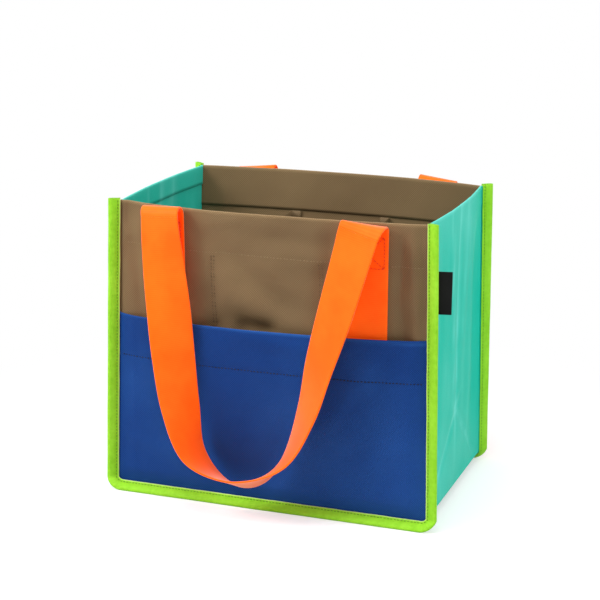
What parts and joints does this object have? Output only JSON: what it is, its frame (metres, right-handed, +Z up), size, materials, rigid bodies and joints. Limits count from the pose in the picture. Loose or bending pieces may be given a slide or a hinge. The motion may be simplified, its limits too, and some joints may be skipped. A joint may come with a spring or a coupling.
{
  "type": "six pack carrier",
  "caption": "Open-topped cloth carrier with a bound edge round its front and back panels, a front pocket, divided cells for bottles and a webbing loop on each long side.",
  "frame": {"origin": "on the floor, midway between the front and back seams and midway between the side seams", "axes": "+X to the bag's right as the front is seen, +Y from the front with the pocket to the back, +Z up"},
  "size_m": [0.2809, 0.2578, 0.2422],
  "materials": {
    "panel_cloth": "brown woven polyester cloth with a coated back",
    "side_cloth": "turquoise woven polyester cloth with a coated back",
    "pocket_cloth": "blue woven polyester cloth with a coated back",
    "divider_cloth": "brown lining cloth",
    "binding_tape": "bright green woven tape",
    "webbing": "bright orange flat webbing",
    "label_tape": "black satin woven tape",
    "binding_thread": "green sewing thread",
    "panel_thread": "brown sewing thread",
    "pocket_thread": "blue sewing thread",
    "handle_thread": "orange sewing thread",
    "board": "dark grey sheet, smooth"
  },
  "bodies": {
    "bag": {"front_panel": "panel_cloth", "back_panel": "panel_cloth", "gusset": "side_cloth", "base_board": "board", "front_pocket": "pocket_cloth", "front_binding": "binding_tape", "back_binding": "binding_tape", "centre_divider": "divider_cloth", "front_left_divider": "divider_cloth", "front_right_divider": "divider_cloth", "back_left_divider": "divider_cloth", "back_right_divider": "divider_cloth", "front_handle_left_end": "webbing", "front_handle_right_end": "webbing", "back_handle_left_end": "webbing", "back_handle_right_end": "webbing", "label": "label_tape", "front_binding_stitching": "binding_thread", "back_binding_stitching": "binding_thread", "front_panel_stitching": "panel_thread", "back_panel_stitching": "panel_thread", "pocket_stitching": "pocket_thread", "front_handle_stitching": "handle_thread", "back_handle_stitching": "handle_thread"},
    "front_handle_fold": {"front_handle_folds": "webbing"},
    "front_handle": {"front_handle_loop": "webbing"},
    "back_handle_fold": {"back_handle_folds": "webbing"},
    "back_handle": {"back_handle_loop": "webbing"}
  },
  "joints": [
    {"name": "front_handle_unfold", "type": "hinge", "parent": "bag", "child": "front_handle_fold", "pos_m": [0, -0.0917, 0.23896], "axis": [-1, 0, 0], "range_deg": [0, 99]},
    {"name": "front_handle_swing", "type": "hinge", "parent": "front_handle_fold", "child": "front_handle", "pos_m": [0, -0.1052, 0.23896], "axis": [-1, 0, 0], "range_deg": [0, 99]},
    {"name": "back_handle_unfold", "type": "hinge", "parent": "bag", "child": "back_handle_fold", "pos_m": [0, 0.0917, 0.23896], "axis": [1, 0, 0], "range_deg": [0, 99]},
    {"name": "back_handle_swing", "type": "hinge", "parent": "back_handle_fold", "child": "back_handle", "pos_m": [0, 0.1052, 0.23896], "axis": [1, 0, 0], "range_deg": [0, 99]}
  ],
  "couplings": [
    {"joint": "front_handle_swing", "follows": "front_handle_unfold", "ratio": 1},
    {"joint": "back_handle_swing", "follows": "back_handle_unfold", "ratio": 1}
  ]
}
